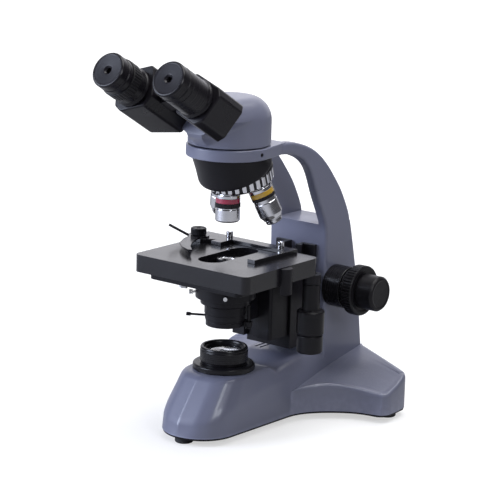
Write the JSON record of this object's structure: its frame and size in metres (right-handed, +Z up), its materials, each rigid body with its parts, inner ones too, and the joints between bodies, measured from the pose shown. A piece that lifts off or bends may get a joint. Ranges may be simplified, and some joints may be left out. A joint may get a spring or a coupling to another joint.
{
  "type": "binocular compound microscope",
  "caption": "Upright binocular compound microscope: cast stand with open curved arm, inclined head, revolving nosepiece, mechanical stage, condenser and built-in light.",
  "frame": {"origin": "middle of the footprint on the table, under the feet", "axes": "+Z up, the user sits at -Y facing +Y, +X to the user's right"},
  "size_m": [0.224, 0.3281, 0.3749],
  "materials": {
    "cast_paint": "satin blue-grey enamel",
    "black_paint": "satin black enamel",
    "black_plastic": "moulded black plastic",
    "rubber": "matt black rubber",
    "bright_metal": "satin chrome plate",
    "steel": "machined steel",
    "brass": "machined brass",
    "optical_glass": "polished, coated",
    "board": "green circuit board",
    "led": "clear LED",
    "enamel": "enamelled colour ring"
  },
  "bodies": {
    "stand": {"base_housing": "cast_paint", "base_plate": "black_paint", "feet": "rubber", "base_screws": "steel", "arm": "cast_paint", "head_lock_screw": "steel", "illuminator_flange": "black_paint", "field_ring": "black_paint", "field_lens": "optical_glass", "lamp": "led", "circuit_board": "board", "power_inlet": "black_plastic", "nosepiece_housing": "black_paint", "focus_guide": "steel", "focus_collars": "black_plastic"},
    "rocker": {"power_switch": "black_plastic"},
    "dial": {"brightness_dial": "black_plastic"},
    "turret": {"turret_plate": "black_paint", "turret_grip_ring": "bright_metal", "colour_rings": "enamel", "objective_lenses": "optical_glass", "objective_4x": "bright_metal", "objective_10x": "bright_metal", "objective_40x": "bright_metal", "objective_100x": "bright_metal"},
    "head": {"head_housing": "cast_paint", "head_prism": "optical_glass", "hub_pin": "black_paint"},
    "right_tube": {"tube_arm_right": "black_paint", "eye_tube_right": "black_paint", "eyepiece_right": "black_paint"},
    "left_tube": {"tube_arm_left": "black_paint", "eye_tube_left": "black_paint", "eyepiece_left": "black_paint"},
    "dioptre": {"dioptre_ring": "black_plastic"},
    "tension": {"tension_ring": "black_plastic"},
    "coarse_drive": {"coarse_knob_left": "black_plastic", "coarse_knob_right": "black_plastic", "coarse_sleeve": "steel"},
    "fine_drive": {"fine_knob_left": "black_plastic", "fine_knob_right": "black_plastic", "fine_shaft": "steel"},
    "carriage": {"stage_carrier": "black_paint", "focus_rack": "brass", "stage_base_plate": "black_paint"},
    "stage": {"stage_top_plate": "black_paint", "stage_drive": "black_paint"},
    "slide_carriage": {"slide_holder": "black_paint", "holder_screws": "bright_metal", "finger_knob": "black_plastic"},
    "finger": {"spring_finger": "black_paint"},
    "y_drive": {"y_knob": "black_plastic"},
    "x_drive": {"x_knob": "black_plastic"},
    "condenser": {"condenser_carrier": "black_paint", "condenser_body": "black_paint", "condenser_lens": "optical_glass", "condenser_screws": "bright_metal"},
    "iris": {"iris_ring": "black_paint"},
    "filter": {"filter_holder": "black_paint"},
    "condenser_drive": {"condenser_knob": "black_plastic"}
  },
  "joints": [
    {"name": "focus_slide", "type": "slide", "parent": "stand", "child": "carriage", "axis": [0, 0, 1], "range_m": [-0.006, 0.015]},
    {"name": "coarse_turn", "type": "hinge", "parent": "stand", "child": "coarse_drive", "pos_m": [0, 0.108, 0.126], "axis": [1, 0, 0], "range_deg": [-60, 120]},
    {"name": "fine_turn", "type": "hinge", "parent": "coarse_drive", "child": "fine_drive", "pos_m": [0, 0.108, 0.126], "axis": [1, 0, 0], "continuous": true},
    {"name": "tension_turn", "type": "hinge", "parent": "stand", "child": "tension", "pos_m": [0, 0.108, 0.126], "axis": [1, 0, 0], "range_deg": [-60, 60]},
    {"name": "stage_y_slide", "type": "slide", "parent": "carriage", "child": "stage", "axis": [0, 1, 0], "range_m": [-0.025, 0.025]},
    {"name": "y_knob_turn", "type": "hinge", "parent": "stage", "child": "y_drive", "pos_m": [0.061, 0.034, 0.1], "axis": [0, 0, 1], "range_deg": [-290, 290]},
    {"name": "stage_x_slide", "type": "slide", "parent": "stage", "child": "slide_carriage", "axis": [-1, 0, 0], "range_m": [-0.03, 0.03]},
    {"name": "x_knob_turn", "type": "hinge", "parent": "stage", "child": "x_drive", "pos_m": [0.061, 0.034, 0.09], "axis": [0, 0, 1], "range_deg": [-350, 350]},
    {"name": "finger_turn", "type": "hinge", "parent": "slide_carriage", "child": "finger", "pos_m": [-0.06, 0.009, 0.177], "axis": [0, 0, 1], "range_deg": [-30, 0], "stiffness_Nm_per_rad": 0.05, "springref_deg": 17.19},
    {"name": "condenser_slide", "type": "slide", "parent": "carriage", "child": "condenser", "axis": [0, 0, 1], "range_m": [-0.012, 0]},
    {"name": "condenser_knob_turn", "type": "hinge", "parent": "carriage", "child": "condenser_drive", "pos_m": [-0.03, 0.03, 0.124], "axis": [1, 0, 0], "range_deg": [-230, 10]},
    {"name": "iris_turn", "type": "hinge", "parent": "condenser", "child": "iris", "pos_m": [0, -0.022, 0.113], "axis": [0, 0, 1], "range_deg": [-30, 30]},
    {"name": "filter_swing", "type": "hinge", "parent": "condenser", "child": "filter", "pos_m": [0.021, -0.012, 0.106], "axis": [0, 0, 1], "range_deg": [0, 100]},
    {"name": "turret_turn", "type": "hinge", "parent": "stand", "child": "turret", "pos_m": [0, -0.00203, 0.24049], "axis": [0, 0.309, -0.9511], "continuous": true},
    {"name": "head_turn", "type": "hinge", "parent": "stand", "child": "head", "pos_m": [0, -0.022, 0.281], "axis": [0, 0, 1], "continuous": true},
    {"name": "right_tube_fold", "type": "hinge", "parent": "head", "child": "right_tube", "pos_m": [0, -0.08262, 0.3326], "axis": [0, -0.866, 0.5], "range_deg": [-23.4, 19.3]},
    {"name": "left_tube_fold", "type": "hinge", "parent": "head", "child": "left_tube", "pos_m": [0, -0.08262, 0.3326], "axis": [0, -0.866, 0.5], "range_deg": [-19.3, 23.4]},
    {"name": "dioptre_turn", "type": "hinge", "parent": "left_tube", "child": "dioptre", "pos_m": [-0.03539, -0.13645, 0.34937], "axis": [0, -0.866, 0.5], "range_deg": [-150, 150]},
    {"name": "switch_rock", "type": "hinge", "parent": "stand", "child": "rocker", "pos_m": [0.058, 0.1495, 0.025], "axis": [1, 0, 0], "range_deg": [-8, 8]},
    {"name": "dial_turn", "type": "hinge", "parent": "stand", "child": "dial", "pos_m": [-0.04, -0.002, 0.027], "axis": [1, 0, 0], "range_deg": [0, 270]}
  ],
  "couplings": [
    {"joint": "coarse_turn", "follows": "focus_slide", "rad_per_m": 116},
    {"joint": "y_knob_turn", "follows": "stage_y_slide", "rad_per_m": 200},
    {"joint": "x_knob_turn", "follows": "stage_x_slide", "rad_per_m": 200},
    {"joint": "condenser_knob_turn", "follows": "condenser_slide", "rad_per_m": 312},
    {"joint": "left_tube_fold", "follows": "right_tube_fold", "ratio": -1}
  ]
}
